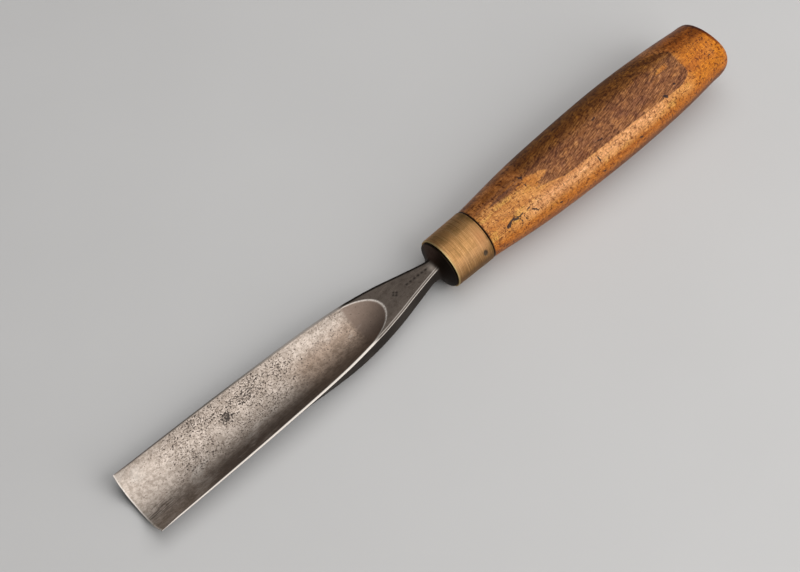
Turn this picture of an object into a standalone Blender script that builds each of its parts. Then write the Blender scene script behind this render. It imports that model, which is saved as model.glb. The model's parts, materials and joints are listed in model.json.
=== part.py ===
"""A straight carving gouge, lying on a bench with the hollow of its blade upwards.

It comes apart into three pieces: a steel blade forged in one with its bolster and tang, a brass
ferrule, and a turned wooden handle with a flat planed along its top. The tool's own X axis runs
from the cutting edge to the butt, and the hollow of the blade faces Z.
"""

import math

import bmesh
import bpy

MM = 0.001
GAP = 0.3 * MM  # clearance left between neighbouring pieces
TURNED_STEPS = 56  # facets round a turned piece

# Places along the tool, measured from the cutting edge.
BEVEL_HEEL = 9 * MM
FLUTE_END = 118.0 * MM  # where the hollow runs out into the top of the shank
FLUTE_RAMP = 13.4 * MM  # length of that run-out
NECK = 141.5 * MM
FERRULE_FRONT = 147.4 * MM
FERRULE_LENGTH = 17.6 * MM
BUTT = 291.9 * MM

# The forged blade: place, half width of the top, height of the top and depth of the underside,
# the last two from the tool's axis.
FORGING = [
    (0, 14.45, 6.8, 3.1),
    (30, 14.0, 6.4, 3.0),
    (60, 13.25, 5.95, 3.0),
    (90, 12.0, 5.6, 3.2),
    (108, 10.1, 5.6, 4.0),
    (120, 8.0, 5.4, 4.8),
    (132, 5.2, 4.8, 4.6),
    (143, 2.9, 4.1, 3.4),
    (147, 2.8, 4.0, 3.3),
]
EDGE_THICKNESS = 0.2 * MM
FLUTE_DEPTH_AT_EDGE = 7.5 * MM
FLUTE_DEPTH_AT_RAMP = 4.8 * MM
RIM_AT_HEEL = 0.55 * MM
RIM_AT_RAMP = 1.0 * MM
SHANK_BEGINS = 52 * MM  # from here the crescent section turns into the deep shank
SHANK_FORMED = 108 * MM
SIDE_SHARE = 0.62  # part of the shank's height that is side, above its rounded belly
SIDE_FLARE = 0.6 * MM  # how far a side leans out before the belly
BELLY_POINTS = 0.7  # part of the outline's points that go round the belly
RAMP_START_SLOPE = 1.35  # how much steeper than a straight ramp the run-out leaves the surface

BOLSTER_RADIUS = 9.9 * MM
BOLSTER_RIM = 0.6 * MM
NECK_RADIUS = 3.6 * MM
COVE_POWER = 2.2  # how late the neck flares into the disc; 1 would be a cone
TANG_LENGTH = 62 * MM
TANG_ROOT = 7.0 * MM  # width of the square tang at the bolster
TANG_TIP = 3.2 * MM

FERRULE_FRONT_RADIUS = 10.65 * MM
FERRULE_REAR_RADIUS = 11.0 * MM
FERRULE_BORE = 9.6 * MM
DIMPLE_BACK = 3.6 * MM  # the punched dimple's distance from the rear rim
DIMPLE_ANGLE = math.radians(68)
DIMPLE_BALL = 3.0 * MM
DIMPLE_DEPTH = 0.35 * MM

# The handle: place and radius of the barrel.
BARREL = [
    (165.3, 10.75),
    (190, 13.2),
    (215, 14.5),
    (241, 14.95),
    (266, 14.05),
    (283, 12.6),
]
BUTT_CROWN = 6.2 * MM  # radius of the middle of the butt, inside its rounded corner
BUTT_CUT = 291.0 * MM  # the butt is cut a little out of square, through this place on the axis
BUTT_SKEW = math.radians(5)
FLAT_FROM = 181 * MM
FLAT_TO = 277 * MM
FLAT_FADE = 14 * MM
FLAT_HALF_WIDTH = 5.4 * MM
FLAT_ANGLE = math.radians(18.5)  # the flat is turned this far towards the right-hand side
PLANING_REACH = 10 * MM  # half the thickness of the block that cuts the flat
PLANING_TOP = 21.5 * MM  # how far that block stands from the axis, clear of the barrel
SAW_SIZE = 25 * MM


def eased(value):
    """0 to 1 with a soft start and end, and flat outside."""
    value = min(max(value, 0.0), 1.0)
    return value * value * (3 - 2 * value)


def between(start, end, share):
    return start + (end - start) * share


def spread(start, end, steps):
    """Evenly spaced places from start up to, but not including, end."""
    return [between(start, end, i / steps) for i in range(steps)]


def along(table, place, column):
    """A column of a table in millimetres, read smoothly at a place in metres."""
    x = min(max(place / MM, table[0][0]), table[-1][0])
    last = len(table) - 2
    i = min(max(index for index, row in enumerate(table) if row[0] <= x), last)
    before, after = table[i], table[i + 1]
    span = after[0] - before[0]
    chord = (after[column] - before[column]) / span

    def slope(k):
        if k in (0, len(table) - 1):
            return chord
        low, high = table[k - 1], table[k + 1]
        return (high[column] - low[column]) / (high[0] - low[0])

    t = (x - before[0]) / span
    curve = (2 * t**3 - 3 * t**2 + 1) * before[column] + (3 * t**2 - 2 * t**3) * after[column]
    curve += ((t**3 - 2 * t**2 + t) * slope(i) + (t**3 - t**2) * slope(i + 1)) * span
    return curve * MM


def half_width(x):
    return along(FORGING, x, 1)


def top_height(x):
    return along(FORGING, x, 2)


def underside(x):
    return -along(FORGING, x, 3)


def flute_depth(x):
    """Depth of the hollow below the top: nearly level along the blade, then a ramp up and out."""
    to_end = FLUTE_END - x
    if to_end > FLUTE_RAMP:
        return between(FLUTE_DEPTH_AT_EDGE, FLUTE_DEPTH_AT_RAMP, x / (FLUTE_END - FLUTE_RAMP))
    share = to_end / FLUTE_RAMP
    return FLUTE_DEPTH_AT_RAMP * share * between(RAMP_START_SLOPE, 1, share)


def flute_radius(x):
    """Radius of the hollow, so that its walls leave the rim's width at each side."""
    x = min(x, FLUTE_END - FLUTE_RAMP)
    rim = between(EDGE_THICKNESS, RIM_AT_HEEL, eased(x / BEVEL_HEEL))
    rim = between(rim, RIM_AT_RAMP, max(x - BEVEL_HEEL, 0) / (FLUTE_END - FLUTE_RAMP - BEVEL_HEEL))
    depth = flute_depth(x)
    opening = half_width(x) - rim
    return (opening**2 + depth**2) / (2 * depth)


def arc(half, sag, share):
    """A point of a shallow arc from rim to rim: its side distance and how far it hangs down."""
    radius = (half**2 + sag**2) / (2 * sag)
    reach = math.acos((radius - sag) / radius)
    angle = reach * share
    return radius * math.sin(angle), radius * math.cos(angle) - (radius - sag)


def deep_section(half, height, share):
    """A point of the shank's outline: nearly upright sides and a rounded belly."""
    side = SIDE_SHARE * height
    if abs(share) > BELLY_POINTS:
        down = (1 - abs(share)) / (1 - BELLY_POINTS)
        return math.copysign(half + SIDE_FLARE * down, share), side * down
    angle = share / BELLY_POINTS * math.pi / 2
    return (half + SIDE_FLARE) * math.sin(angle), side + (height - side) * math.cos(angle)


def forging_section(x, points):
    """The outline of the solid forging from one rim, under it, to the other."""
    half = half_width(x)
    top = top_height(x)
    edge = top - flute_depth(x) - EDGE_THICKNESS
    bottom = between(edge, underside(x), eased(x / BEVEL_HEEL) ** 0.5)
    height = top - bottom
    shank = eased((x - SHANK_BEGINS) / (SHANK_FORMED - SHANK_BEGINS))
    outline = []
    for i in range(points):
        share = 2 * i / (points - 1) - 1
        thin_y, thin_drop = arc(half, height, share)
        deep_y, deep_drop = deep_section(half, height, share)
        y = between(thin_y, deep_y, shank)
        drop = between(thin_drop, deep_drop, shank)
        outline.append((x, y, top - drop))
    return outline


def flute_section(x, points):
    """A full circle whose lower part is the hollow's cross-section."""
    radius = flute_radius(x)
    centre = top_height(x) - flute_depth(x) + radius
    turns = [2 * math.pi * i / points for i in range(points)]
    return [(x, radius * math.cos(turn), centre + radius * math.sin(turn)) for turn in turns]


def collection(name):
    made = bpy.data.collections.new(name)
    bpy.context.scene.collection.children.link(made)
    return made


def material(name, colour, roughness, metallic):
    made = bpy.data.materials.new(name)
    made.use_nodes = True
    shader = made.node_tree.nodes["Principled BSDF"]
    shader.inputs["Base Color"].default_value = (*colour, 1)
    shader.inputs["Roughness"].default_value = roughness
    shader.inputs["Metallic"].default_value = metallic
    return made


def placed(name, mesh, home):
    """An object that lies along the tool's axis, in its collection."""
    made = bpy.data.objects.new(name, mesh)
    home.objects.link(made)
    made.parent = tool_axis
    return made


def as_tool(made):
    """Marks an object as a cutter or a shape to join, which isn't a piece itself."""
    for home in made.users_collection:
        home.objects.unlink(made)
    cutters.objects.link(made)
    made.hide_render = True
    made.display_type = "WIRE"
    return made


def loft(name, sections, home):
    """A closed solid through a row of outlines that have the same number of points."""
    shape = bmesh.new()
    rings = [[shape.verts.new(point) for point in section] for section in sections]
    count = len(rings[0])
    for ring, following in zip(rings, rings[1:]):
        for i in range(count):
            k = (i + 1) % count
            shape.faces.new((ring[i], ring[k], following[k], following[i]))
    shape.faces.new(rings[0])
    shape.faces.new(rings[-1])
    bmesh.ops.recalc_face_normals(shape, faces=shape.faces)
    mesh = bpy.data.meshes.new(name)
    shape.to_mesh(mesh)
    shape.free()
    return placed(name, mesh, home)


def turned(name, profile, home):
    """A piece turned about the tool's axis. The profile is (radius, place) from front to back."""
    mesh = bpy.data.meshes.new(name)
    points = [(radius, 0, -place) for radius, place in profile]
    edges = [(i, i + 1) for i in range(len(points) - 1)]
    mesh.from_pydata(points, edges, [])
    made = placed(name, mesh, home)
    made.rotation_euler = (0, -math.pi / 2, 0)
    screw = made.modifiers.new("turning", "SCREW")
    screw.axis = "Z"
    screw.steps = TURNED_STEPS
    screw.render_steps = TURNED_STEPS
    screw.use_merge_vertices = True
    screw.merge_threshold = 0.00001
    return made


def boolean(target, operation, other):
    cut = target.modifiers.new(other.name, "BOOLEAN")
    cut.operation = operation
    cut.solver = "EXACT"
    cut.object = other


def settle(made, surface, sharp_angle):
    """Applies a piece's modifiers, gives it its material and shades it smooth between its edges."""
    bpy.context.view_layer.update()
    graph = bpy.context.evaluated_depsgraph_get()
    mesh = bpy.data.meshes.new_from_object(made.evaluated_get(graph))
    made.modifiers.clear()
    made.data = mesh
    mesh.name = made.name
    mesh.materials.clear()
    mesh.materials.append(surface)
    mesh.shade_smooth()
    mesh.set_sharp_from_angle(angle=sharp_angle)


def square_tang(name, clearance):
    """A long square taper that starts inside the bolster."""
    root = TANG_ROOT / 2 + clearance
    tip = TANG_TIP / 2 + clearance
    start = FERRULE_FRONT - BOLSTER_RIM
    length = TANG_LENGTH + clearance
    bpy.ops.mesh.primitive_cone_add(
        vertices=4, radius1=root * math.sqrt(2), radius2=tip * math.sqrt(2), depth=length
    )
    made = bpy.context.object
    made.name = name
    made.parent = tool_axis
    made.location = (start + length / 2, 0, 0)
    made.rotation_mode = "ZYX"
    made.rotation_euler = (0, math.pi / 2, math.pi / 4)
    return as_tool(made)


def bolster():
    """The disc that bears on the ferrule, flaring out of the neck."""
    back = FERRULE_FRONT - GAP
    rim = back - BOLSTER_RIM
    profile = [(0, NECK)]
    steps = 10
    for i in range(steps + 1):
        share = i / steps
        radius = between(NECK_RADIUS, BOLSTER_RADIUS, share**COVE_POWER)
        profile.append((radius, between(NECK, rim, share)))
    profile += [(BOLSTER_RADIUS, back), (0, back)]
    return as_tool(turned("bolster", profile, cutters))


def blade():
    """The forging, hollowed by the flute and joined to its bolster and tang."""
    ramp = FLUTE_END - FLUTE_RAMP
    overshoot = 1.2 * MM
    bevel = spread(0, BEVEL_HEEL, 5)
    wall = spread(BEVEL_HEEL, SHANK_BEGINS, 5)
    stations = bevel + wall + spread(SHANK_BEGINS, SHANK_FORMED, 8)
    stations += spread(SHANK_FORMED, NECK, 7) + [NECK, FERRULE_FRONT - overshoot]
    body = loft("blade", [forging_section(x, 29) for x in stations], pieces)
    hollow = [-overshoot] + bevel + spread(BEVEL_HEEL, ramp, 6)
    hollow += spread(ramp, FLUTE_END, 7) + [FLUTE_END, FLUTE_END + overshoot]
    flute = as_tool(loft("flute", [flute_section(x, 60) for x in hollow], cutters))
    boolean(body, "DIFFERENCE", flute)
    boolean(body, "UNION", bolster())
    boolean(body, "UNION", square_tang("tang", 0))
    return body


def ferrule():
    """A tube that widens slightly towards the wood, with one punched dimple."""
    rear = FERRULE_FRONT + FERRULE_LENGTH
    profile = [
        (FERRULE_BORE, FERRULE_FRONT),
        (FERRULE_FRONT_RADIUS, FERRULE_FRONT),
        (FERRULE_REAR_RADIUS, rear),
        (FERRULE_BORE, rear),
        (FERRULE_BORE, FERRULE_FRONT),
    ]
    tube = turned("ferrule", profile, pieces)
    bpy.ops.mesh.primitive_uv_sphere_add(segments=16, ring_count=8, radius=DIMPLE_BALL)
    ball = bpy.context.object
    ball.name = "dimple"
    ball.parent = tool_axis
    reach = FERRULE_REAR_RADIUS + DIMPLE_BALL - DIMPLE_DEPTH
    side = -reach * math.sin(DIMPLE_ANGLE)
    ball.location = (rear - DIMPLE_BACK, side, reach * math.cos(DIMPLE_ANGLE))
    boolean(tube, "DIFFERENCE", as_tool(ball))
    return tube


def barrel_radius(x):
    return along(BARREL, x, 1)


def planing_block():
    """A block whose lower face follows the barrel a little below its surface."""
    steps = 24
    curve = bpy.data.curves.new("planing", "CURVE")
    curve.dimensions = "2D"
    curve.fill_mode = "BOTH"
    curve.extrude = PLANING_REACH
    outline = [(FLAT_FROM, PLANING_TOP)]
    for i in range(steps + 1):
        x = between(FLAT_FROM, FLAT_TO, i / steps)
        radius = barrel_radius(x)
        depth = radius - math.sqrt(radius**2 - FLAT_HALF_WIDTH**2)
        fade = eased(min(x - FLAT_FROM, FLAT_TO - x) / FLAT_FADE)
        outline.append((x, radius - depth * fade + GAP * (1 - fade)))
    outline.append((FLAT_TO, PLANING_TOP))
    line = curve.splines.new("POLY")
    line.points.add(len(outline) - 1)
    for point, (x, height) in zip(line.points, outline):
        point.co = (x, height, 0, 1)
    line.use_cyclic_u = True
    drawn = bpy.data.objects.new("planing_outline", curve)
    pieces.objects.link(drawn)
    bpy.context.view_layer.update()
    graph = bpy.context.evaluated_depsgraph_get()
    mesh = bpy.data.meshes.new_from_object(drawn.evaluated_get(graph))
    bpy.data.objects.remove(drawn)
    shape = bmesh.new()
    shape.from_mesh(mesh)
    bmesh.ops.remove_doubles(shape, verts=shape.verts, dist=0.00001)
    bmesh.ops.recalc_face_normals(shape, faces=shape.faces)
    shape.to_mesh(mesh)
    shape.free()
    block = placed("planing", mesh, cutters)
    block.rotation_euler = (math.pi / 2 + FLAT_ANGLE, 0, 0)
    return as_tool(block)


def saw_block():
    """A block that takes off the end of the butt, deeper on the left-hand side."""
    bpy.ops.mesh.primitive_cube_add(size=SAW_SIZE)
    block = bpy.context.object
    block.name = "saw"
    block.parent = tool_axis
    middle = SAW_SIZE / 2
    block.location = (BUTT_CUT + middle * math.cos(BUTT_SKEW), -middle * math.sin(BUTT_SKEW), 0)
    block.rotation_euler = (0, 0, -BUTT_SKEW)
    return as_tool(block)


def handle():
    """The turned barrel with its tenon, the socket for the tang and the planed flat."""
    shoulder = FERRULE_FRONT + FERRULE_LENGTH + GAP
    tenon = FERRULE_BORE - GAP
    profile = [(0, FERRULE_FRONT), (tenon, FERRULE_FRONT), (tenon, shoulder)]
    barrel_steps = 18
    corner = BARREL[-1][0] * MM
    for i in range(barrel_steps + 1):
        x = between(shoulder, corner, i / barrel_steps)
        profile.append((barrel_radius(x), x))
    corner_steps = 7
    corner_radius = barrel_radius(corner)
    for i in range(1, corner_steps + 1):
        turn = math.pi / 2 * i / corner_steps
        radius = between(BUTT_CROWN, corner_radius, math.cos(turn))
        profile.append((radius, between(corner, BUTT, math.sin(turn))))
    profile.append((0, BUTT))
    barrel = turned("handle", profile, pieces)
    boolean(barrel, "DIFFERENCE", square_tang("socket", GAP))
    boolean(barrel, "DIFFERENCE", planing_block())
    boolean(barrel, "DIFFERENCE", saw_block())
    return barrel


def lowest(points, lean):
    return min(x * math.sin(lean) + z * math.cos(lean) for x, _, z in points)


def rest(steel, wood):
    """Leans the tool until the heel of the blade and the belly of the handle both touch the
    bench, and puts the middle of what it covers over the origin."""
    low, high = 0.0, math.radians(10)
    for _ in range(40):
        lean = between(low, high, 0.5)
        steel_above = lowest(steel, lean) > lowest(wood, lean)
        low, high = (lean, high) if steel_above else (low, lean)
    everything = steel + wood
    lengths = [x * math.cos(lean) - z * math.sin(lean) for x, _, z in everything]
    sides = [y for _, y, _ in everything]
    tool_axis.rotation_euler = (0, -lean, 0)
    tool_axis.location = (
        -(min(lengths) + max(lengths)) / 2,
        -(min(sides) + max(sides)) / 2,
        -lowest(everything, lean),
    )


for leftover in list(bpy.data.objects):
    bpy.data.objects.remove(leftover)

pieces = collection("carving_gouge")
cutters = collection("cutters")
tool_axis = bpy.data.objects.new("tool_axis", None)
pieces.objects.link(tool_axis)

steel_piece = blade()
brass_piece = ferrule()
wood_piece = handle()
settle(steel_piece, material("forged_steel", (0.42, 0.38, 0.34), 0.38, 1.0), math.radians(25))
settle(brass_piece, material("brass", (0.58, 0.36, 0.14), 0.34, 1.0), math.radians(30))
settle(wood_piece, material("turned_wood", (0.52, 0.24, 0.07), 0.45, 0.0), math.radians(30))
rest(
    [tuple(v.co) for v in steel_piece.data.vertices],
    [(-v.co.z, v.co.y, v.co.x) for v in wood_piece.data.vertices],
)
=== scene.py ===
# %% [markdown]
# # A carving gouge, finished for looking at
#
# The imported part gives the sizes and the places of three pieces: a forged steel blade, a brass
# ferrule and a turned wooden handle. This lesson builds the surface that a hand would feel on each
# of them, gives each its finish, and sets the tool on a pale bench under soft light.
#
# Everything is worked out in the tool's own frame, in millimetres: X runs from the cutting edge to
# the butt, Z is the side that the hollow faces, and the right-hand side is -Y.

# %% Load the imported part
import json
import math

import bmesh
import bpy
import numpy as np
from mathutils import Matrix, Vector, noise


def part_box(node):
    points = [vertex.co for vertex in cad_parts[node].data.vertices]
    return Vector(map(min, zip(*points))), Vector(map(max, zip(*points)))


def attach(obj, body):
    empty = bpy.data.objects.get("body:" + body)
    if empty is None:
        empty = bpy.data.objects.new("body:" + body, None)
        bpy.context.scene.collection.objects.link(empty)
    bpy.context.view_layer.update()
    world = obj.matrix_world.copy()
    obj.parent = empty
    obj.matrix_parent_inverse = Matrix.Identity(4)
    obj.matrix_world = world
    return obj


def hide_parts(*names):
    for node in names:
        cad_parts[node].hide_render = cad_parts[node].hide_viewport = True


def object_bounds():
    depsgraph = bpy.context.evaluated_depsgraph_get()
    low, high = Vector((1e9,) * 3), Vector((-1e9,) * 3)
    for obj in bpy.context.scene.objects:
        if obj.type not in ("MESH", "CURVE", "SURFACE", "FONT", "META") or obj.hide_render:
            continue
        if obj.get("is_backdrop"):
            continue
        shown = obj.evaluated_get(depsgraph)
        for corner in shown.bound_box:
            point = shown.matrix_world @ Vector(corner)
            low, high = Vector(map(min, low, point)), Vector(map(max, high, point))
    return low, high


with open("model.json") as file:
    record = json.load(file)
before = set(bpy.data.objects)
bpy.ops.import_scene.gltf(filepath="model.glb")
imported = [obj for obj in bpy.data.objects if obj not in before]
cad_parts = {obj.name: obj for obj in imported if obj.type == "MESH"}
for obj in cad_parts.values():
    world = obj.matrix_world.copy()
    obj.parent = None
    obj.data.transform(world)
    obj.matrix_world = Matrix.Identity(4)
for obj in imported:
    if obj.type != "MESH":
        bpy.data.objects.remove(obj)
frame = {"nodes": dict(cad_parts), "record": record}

cad_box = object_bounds()
MM = 0.001
for node in sorted(frame["nodes"]):
    low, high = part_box(node)
    print(node, "is", [round(side / MM, 1) for side in high - low], "mm")

# %% [markdown]
# ## The tool's own frame
#
# The gouge leans a few degrees, because the heel of its blade and the belly of its handle both
# touch the bench. The flat end of the butt is a mount in the record, and it was sawn askew only
# sideways, so the slope of its normal is the slope of the whole tool. Every piece is modelled
# lying straight along X, and then this one matrix moves its points to the bench. The points move
# and not the object, so that the object's own box is also its true box. The finishes undo the
# matrix again, because wood grain and lathe marks follow the tool and not the bench.

# %% Work out where the tool lies
BUTT_PLACE = 290.95  # where the middle of the butt's flat end is, along the tool

butt = next(mount for mount in frame["record"]["mounts"] if mount["name"] == "butt_face")
butt_x, _, butt_z = butt["pos_m"]
lean = math.atan2(butt["axis"][2], butt["axis"][0])
forward = Vector((math.cos(lean), 0, math.sin(lean)))
edge_middle = Vector((butt_x, 0, butt_z)) - BUTT_PLACE * MM * forward
tool_to_bench = Matrix.Translation(edge_middle) @ Matrix.Rotation(-lean, 4, "Y")
print("the tool leans", round(math.degrees(lean), 2), "degrees")

# %% [markdown]
# ## Small helpers for curves
#
# A craftsperson's curve is a few measured widths with a smooth line through them. `smooth_through`
# draws that line. `soft_min` and `soft_max` join two surfaces with a small rounding instead of a
# knife-sharp line, which is what years of handling do to an edge.

# %% Curves and soft joins


def eased(value):
    """0 to 1 with a soft start and end, and flat outside."""
    value = np.clip(value, 0.0, 1.0)
    return value * value * (3 - 2 * value)


def between(start, end, share):
    return start + (end - start) * share


def bump_at(value, middle, spread):
    """A smooth hill, 1 at its middle."""
    return np.exp(-(((value - middle) / spread) ** 2))


def patch_at(along, across, long, wide):
    """A smooth round hill, from the distances to its middle and its two sizes."""
    return np.exp(-((along / long) ** 2) - (across / wide) ** 2)


def in_degrees(turn):
    """A turn in degrees, from -180 to 180."""
    return (np.degrees(turn) + 180) % 360 - 180


def smooth_through(table, places):
    """The columns of a table, read smoothly at many places."""
    table = np.array(table, float)
    at = np.clip(places, table[0, 0], table[-1, 0])
    i = np.clip(np.searchsorted(table[:, 0], at, side="right") - 1, 0, len(table) - 2)
    span = np.diff(table[:, 0])
    chord = np.diff(table[:, 1:], axis=0) / span[:, None]
    wide = table[2:, 0] - table[:-2, 0]
    middle = (table[2:, 1:] - table[:-2, 1:]) / wide[:, None]
    slope = np.vstack([chord[:1], middle, chord[-1:]])
    t = ((at - table[i, 0]) / span[i])[:, None]
    curve = (2 * t**3 - 3 * t**2 + 1) * table[i, 1:] + (3 * t**2 - 2 * t**3) * table[i + 1, 1:]
    curve += ((t**3 - 2 * t**2 + t) * slope[i] + (t**3 - t**2) * slope[i + 1]) * span[i][:, None]
    return curve.T


def soft_min(a, b, width):
    meet = np.maximum(width - np.abs(a - b), 0) / width
    return np.minimum(a, b) - meet**2 * width / 4


def soft_max(a, b, width):
    return -soft_min(-a, -b, width)


def steps(*stops):
    """Places along a line: steps(start, spacing, next, spacing, ..., end)."""
    places = []
    for k in range(0, len(stops) - 2, 2):
        start, spacing, end = stops[k : k + 3]
        count = max(round((end - start) / spacing), 1)
        places += [between(start, end, i / count) for i in range(count)]
    return np.array(places + [stops[-1]])


print("places from 0 to 2, 0.5 apart:", steps(0, 0.5, 2).tolist())

# %% [markdown]
# ## Skinning
#
# Each piece is one skin of rings, like the hoops of a basket: row after row of points that are
# joined by four-sided faces. Rings give full control of where the detail goes, which a Boolean
# would not, and they never leave a stray face. Masks, such as how worn a place is, are stored
# beside the points, and the finishes read them later.

# %% Make a mesh that carries its masks


def masked_mesh(name, points, faces, masks):
    """A smooth mesh with its faces outwards, and one number a point for every mask."""
    mesh = bpy.data.meshes.new(name)
    mesh.from_pydata(points, [], faces)
    for mask, field in masks.items():
        layer = mesh.attributes.new(mask, "FLOAT", "POINT")
        layer.data.foreach_set("value", np.array(field, np.float32))
    shape = bmesh.new()
    shape.from_mesh(mesh)
    bmesh.ops.recalc_face_normals(shape, faces=shape.faces)
    shape.to_mesh(mesh)
    shape.free()
    mesh.shade_smooth()
    return mesh


# %% [markdown]
# ## Two ways to close a skin
#
# A solid bar needs a cap at each end. A "fan" joins the last ring to one middle point, which
# suits a round end. A "ladder" joins its two sides like rungs, which suits the blade's thin
# crescent. A tube needs no caps: its last ring is joined to its first.

# %% Turn rings into a bar or a tube
SHARP_RIM = 50  # degrees: a rim that turns more than this stays crisp


def skin(name, rings, masks, end_caps):
    """A closed mesh through rings of points in millimetres. An end cap is "ladder" or "fan"."""
    rows, count, _ = rings.shape
    index = np.arange(rows * count).reshape(rows, count)
    right = np.roll(index, -1, axis=1)
    quads = np.stack([index[:-1], right[:-1], right[1:], index[1:]], axis=-1)
    faces = quads.reshape(-1, 4).tolist()
    points = (rings.reshape(-1, 3) * MM).tolist()
    values = {mask: list(field.reshape(-1)) for mask, field in masks.items()}
    for row, cap in ((0, end_caps[0]), (rows - 1, end_caps[1])):
        ring = index[row].tolist()
        if cap == "ladder":
            half = count // 2
            faces += [
                (ring[i], ring[i + 1], ring[count - 2 - i], ring[count - 1 - i])
                for i in range(half - 1)
            ]
        else:
            centre = len(points)
            points.append((rings[row].mean(axis=0) * MM).tolist())
            for mask in values:
                values[mask].append(float(masks[mask][row].mean()))
            faces += [(ring[i], ring[(i + 1) % count], centre) for i in range(count)]
    return masked_mesh(name, points, faces, values)


def closed_tube(name, rings, masks):
    """A mesh like skin's, whose last ring is joined to its first."""
    rows, count, _ = rings.shape
    index = np.arange(rows * count).reshape(rows, count)
    right = np.roll(index, -1, axis=1)
    quads = np.stack([index, right, np.roll(right, -1, axis=0), np.roll(index, -1, axis=0)], axis=-1)
    values = {mask: field.reshape(-1) for mask, field in masks.items()}
    mesh = masked_mesh(name, (rings.reshape(-1, 3) * MM).tolist(), quads.reshape(-1, 4).tolist(), values)
    mesh.set_sharp_from_angle(angle=math.radians(SHARP_RIM))
    return mesh


# %% [markdown]
# ## One piece at a time
#
# A finished mesh takes the place of the plain solid that came with the imported part, which is hidden.
# It rides on the part's one body.

# %% Lay a piece on the bench


def lay_on_bench(mesh, node):
    """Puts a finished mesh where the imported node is, and lets it stand for that node."""
    name = mesh.name
    piece = bpy.data.objects.new(name, mesh)
    bpy.context.scene.collection.objects.link(piece)
    mesh.transform(tool_to_bench)
    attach(piece, "root")
    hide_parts(node)
    print(name, "has", len(mesh.polygons), "faces")
    return piece


# %% [markdown]
# ## The blade's lines
#
# A gouge's blade is forged from one bar. Its back is a shallow arc that deepens into a solid
# shank, the flute is ground down its length and runs out in a U, and the shank narrows to a neck
# that flares into the bolster. The table below is what a smith would chalk on the bench: for each
# place along the tool, the half width, the height of the top and the depth of the back.

# %% The forging's measurements
FORGING = [
    (0, 14.45, 6.8, 3.1),
    (30, 14.0, 6.4, 3.0),
    (60, 13.25, 5.95, 3.0),
    (90, 12.0, 5.6, 3.2),
    (108, 10.1, 5.6, 4.0),
    (120, 8.0, 5.4, 4.8),
    (132, 5.2, 4.8, 4.6),
    (143, 2.9, 4.1, 3.4),
    (147, 2.8, 4.0, 3.3),
]
BEVEL_HEEL = 9.0
FLUTE_END = 118.0
RAMP_FOOT = FLUTE_END - 13.4
RAMP_START_SLOPE = 1.35
DEPTH_AT_EDGE = 7.5
DEPTH_AT_RAMP = 4.8
EDGE_THICKNESS = 0.2
RIM_AT_HEEL = 0.55
RIM_AT_RAMP = 1.0
RIM_DROOP = 0.24  # slope of the narrow land along each rim, down towards the outside
SHANK_BEGINS = 52.0
SHANK_FORMED = 108.0
SIDE_SHARE = 0.62
SIDE_FLARE = 0.6
BELLY_POINTS = 0.7
NECK = 141.5
NECK_RADIUS = 3.6
BOLSTER_BACK = 147.1
BOLSTER_RIM = 0.6
BOLSTER_RADIUS = 9.9
COVE_POWER = 2.2
TANG_ROOT = 3.5
TANG_TIP = 1.6
TANG_END = 208.8


def flute_depth(x):
    level = between(DEPTH_AT_EDGE, DEPTH_AT_RAMP, x / RAMP_FOOT)
    share = (FLUTE_END - x) / (FLUTE_END - RAMP_FOOT)
    ramp = DEPTH_AT_RAMP * share * between(RAMP_START_SLOPE, 1, share)
    return np.where(x < RAMP_FOOT, level, ramp)


def rim_width(x):
    x = np.minimum(x, RAMP_FOOT)
    thin = between(EDGE_THICKNESS, RIM_AT_HEEL, eased(x / BEVEL_HEEL))
    share = np.clip((x - BEVEL_HEEL) / (RAMP_FOOT - BEVEL_HEEL), 0, 1)
    return between(thin, RIM_AT_RAMP, share)


print("rim at 60 mm:", round(float(rim_width(np.array(60.0))), 2), "mm wide")

# %% [markdown]
# ## The blade's top
#
# The top is two surfaces: the flat that the smith left, and the hollow that the grinder cut. Where
# they cross, `soft_min` leaves a worn arris, so the U at the end of the flute catches the light
# as a real one does. A few shallow punch dots stand in for the marks on the shank.

# %% Heights of the top surface
PUNCH_ROW = [(130.6 + 1.9 * i, 0.45) for i in range(6)]
PUNCH_DIAMOND = [(123.7, 0.3), (125.3, 0.3), (124.5, -0.5), (124.5, 1.1)]
PUNCH_DEPTH = 0.26
PUNCH_SIZE = 0.45
ARRIS_WIDTH = 0.30
SHANK_CROWN = 0.12  # how much the shank's top falls away towards its sides
print(len(PUNCH_ROW + PUNCH_DIAMOND), "punch dots,", PUNCH_DEPTH, "mm deep")


def top_surface(x, y, half, top):
    """Heights of the top at the points (x, y), and how near each is to the flute's worn arris."""
    rim = rim_width(x)
    land = half - rim
    flat = top - RIM_DROOP * np.maximum(np.abs(y) - land, 0)
    crown = SHANK_CROWN * eased((x - RAMP_FOOT) / 8) * (y / half) ** 2
    flat = flat - crown
    depth = flute_depth(x)
    foot_half, _, _ = smooth_through(FORGING, np.minimum(x[:, 0], RAMP_FOOT))
    opening = foot_half[:, None] - rim
    sag = flute_depth(np.minimum(x, RAMP_FOOT))
    radius = (opening**2 + sag**2) / (2 * sag)
    hollow = top - depth + radius - np.sqrt(np.maximum(radius**2 - y**2, 1e-6))
    meet = np.maximum(ARRIS_WIDTH - np.abs(flat - hollow), 0) / ARRIS_WIDTH
    height = soft_min(flat, hollow, ARRIS_WIDTH)
    for px, py in PUNCH_ROW + PUNCH_DIAMOND:
        apart = np.hypot(x - px, y - py)
        height = height - PUNCH_DEPTH * bump_at(apart, 0, PUNCH_SIZE)
    return height, meet, hollow - flat


# %% [markdown]
# ## The blade's sections
#
# Each ring starts at the right-hand rim, crosses the top, goes round the left-hand corner and
# comes back underneath. The back is an arc along the blade and turns into upright sides with a
# rounded belly along the shank. The corners get a tiny rounding, because a perfectly sharp corner
# is the first thing that looks false.

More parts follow.
